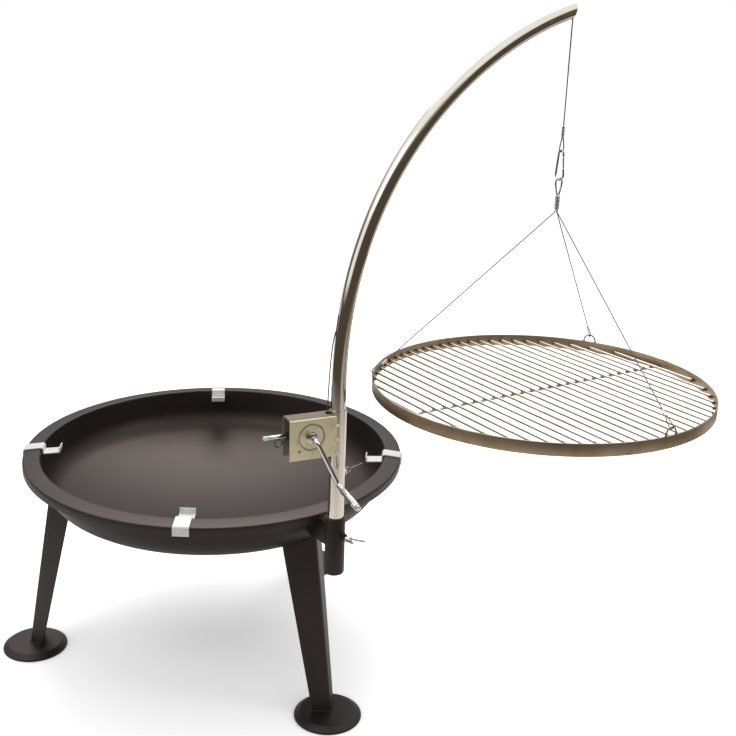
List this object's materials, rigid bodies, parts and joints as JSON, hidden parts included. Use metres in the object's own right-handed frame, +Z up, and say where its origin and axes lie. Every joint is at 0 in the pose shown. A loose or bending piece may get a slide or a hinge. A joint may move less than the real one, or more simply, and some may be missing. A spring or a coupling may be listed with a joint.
{
  "type": "tripod swing grill",
  "caption": "Round fire bowl on three splayed legs with a clamped swing mast whose arched arm hangs a round grate on a cable from a ratchet hand winch.",
  "frame": {"origin": "middle of the object's footprint on the ground, with the grate swung out to the side as in the picture", "axes": "+X from the fire bowl towards the grate that is swung out, +Y from the mast towards the rear foot, +Z up"},
  "size_m": [1.4582, 0.902, 1.3877],
  "materials": {
    "heat_paint": "matte black-brown heat-proof paint",
    "polished_stainless": "polished stainless steel",
    "bright_steel": "bright zinc-plated steel",
    "yellow_zinc": "yellow zinc plating",
    "dark_steel": "plain dark steel",
    "grate_stainless": "brushed stainless steel",
    "steel_cable": "stranded steel cable"
  },
  "bodies": {
    "stand": {"bowl": "heat_paint", "leg_1": "heat_paint", "leg_2": "heat_paint", "leg_3": "heat_paint", "foot_plate_1": "heat_paint", "foot_plate_2": "heat_paint", "foot_plate_3": "heat_paint", "mast_socket": "heat_paint", "socket_bracket": "heat_paint", "socket_nut": "heat_paint"},
    "clip_front": {"grate_clip_1": "bright_steel"},
    "clip_right": {"grate_clip_2": "bright_steel"},
    "clip_rear": {"grate_clip_3": "bright_steel"},
    "clip_left": {"grate_clip_4": "bright_steel"},
    "socket_screw": {"socket_wing_screw": "bright_steel"},
    "mast": {"lower_mast_tube": "polished_stainless", "mast_nut": "polished_stainless", "curved_arm": "polished_stainless", "winch_housing": "yellow_zinc", "cable_guide_pin": "bright_steel", "pawl_pin": "bright_steel", "hoist_cable_run": "steel_cable"},
    "mast_screw": {"mast_wing_screw": "bright_steel"},
    "crank": {"winch_shaft": "bright_steel", "winch_drum": "bright_steel", "drum_cable": "steel_cable", "ratchet_wheel": "dark_steel", "shaft_washer": "bright_steel", "shaft_nut": "bright_steel", "shaft_retainer": "bright_steel", "crank_rod": "polished_stainless", "crank_cap": "bright_steel"},
    "grip": {"crank_grip": "bright_steel"},
    "pawl": {"pawl": "dark_steel", "pawl_lever": "bright_steel", "lever_cap": "bright_steel", "lever_ring": "dark_steel"},
    "hoist": {"cable_ferrule": "bright_steel", "hoist_cable_drop": "steel_cable"},
    "hook": {"cable_eye": "steel_cable", "snap_hook": "bright_steel"},
    "gate": {"hook_gate": "bright_steel"},
    "grate": {"hanger_eye": "bright_steel", "bridle_sleeve": "bright_steel", "bridle_cable_1": "steel_cable", "bridle_cable_2": "steel_cable", "bridle_cable_3": "steel_cable", "bridle_loop_1": "steel_cable", "bridle_loop_2": "steel_cable", "bridle_loop_3": "steel_cable", "bridle_ferrule_1": "bright_steel", "bridle_ferrule_2": "bright_steel", "bridle_ferrule_3": "bright_steel", "eyelet_1": "bright_steel", "eyelet_2": "bright_steel", "eyelet_3": "bright_steel", "grate_ring": "grate_stainless", "grate_bars": "grate_stainless"}
  },
  "joints": [
    {"name": "mast_swivel", "type": "hinge", "parent": "stand", "child": "mast", "pos_m": [0.0016, -0.30469, 0.4], "axis": [0, 0, 1], "continuous": true},
    {"name": "crank_turn", "type": "hinge", "parent": "mast", "child": "crank", "pos_m": [-0.0494, -0.32901, 0.631], "axis": [-0.4305, 0.9026, 0], "range_deg": [-360, 360]},
    {"name": "hoist_lift", "type": "slide", "parent": "mast", "child": "hoist", "axis": [0, 0, 1], "range_m": [-0.1452, 0.1452], "deforming": ["hoist_cable_drop"]},
    {"name": "grip_spin", "type": "hinge", "parent": "crank", "child": "grip", "pos_m": [0.01518, -0.37068, 0.54315], "axis": [0.5146, -0.8232, -0.2397], "continuous": true},
    {"name": "pawl_lift", "type": "hinge", "parent": "mast", "child": "pawl", "pos_m": [-0.07016, -0.33891, 0.606], "axis": [0.4305, -0.9026, 0], "range_deg": [-9, 9]},
    {"name": "hook_spin", "type": "hinge", "parent": "hoist", "child": "hook", "pos_m": [0.39512, -0.11698, 1.13], "axis": [0, 0, 1], "continuous": true},
    {"name": "gate_open", "type": "hinge", "parent": "hook", "child": "gate", "pos_m": [0.39892, -0.1224, 1.11581], "axis": [0.8191, 0.5736, 0], "range_deg": [0, 25], "stiffness_Nm_per_rad": 0.004, "springref_deg": -11.46},
    {"name": "grate_swing", "type": "hinge", "parent": "hook", "child": "grate", "pos_m": [0.39512, -0.11698, 1.073], "axis": [0.5736, -0.8191, 0], "range_deg": [-6, 6]},
    {"name": "socket_screw_turn", "type": "hinge", "parent": "stand", "child": "socket_screw", "pos_m": [0.01454, -0.31375, 0.4237], "axis": [0.8191, -0.5736, 0], "range_deg": [0, 360]},
    {"name": "mast_screw_turn", "type": "hinge", "parent": "mast", "child": "mast_screw", "pos_m": [0.01019, -0.29389, 0.5455], "axis": [0.6225, 0.7826, 0], "range_deg": [0, 360]},
    {"name": "clip_lift_front", "type": "slide", "parent": "stand", "child": "clip_front", "axis": [0, 0, 1], "range_m": [0, 0.03]},
    {"name": "clip_lift_right", "type": "slide", "parent": "stand", "child": "clip_right", "axis": [0, 0, 1], "range_m": [0, 0.03]},
    {"name": "clip_lift_rear", "type": "slide", "parent": "stand", "child": "clip_rear", "axis": [0, 0, 1], "range_m": [0, 0.03]},
    {"name": "clip_lift_left", "type": "slide", "parent": "stand", "child": "clip_left", "axis": [0, 0, 1], "range_m": [0, 0.03]}
  ],
  "couplings": [
    {"joint": "hoist_lift", "follows": "crank_turn", "m_per_rad": 0.02305}
  ]
}
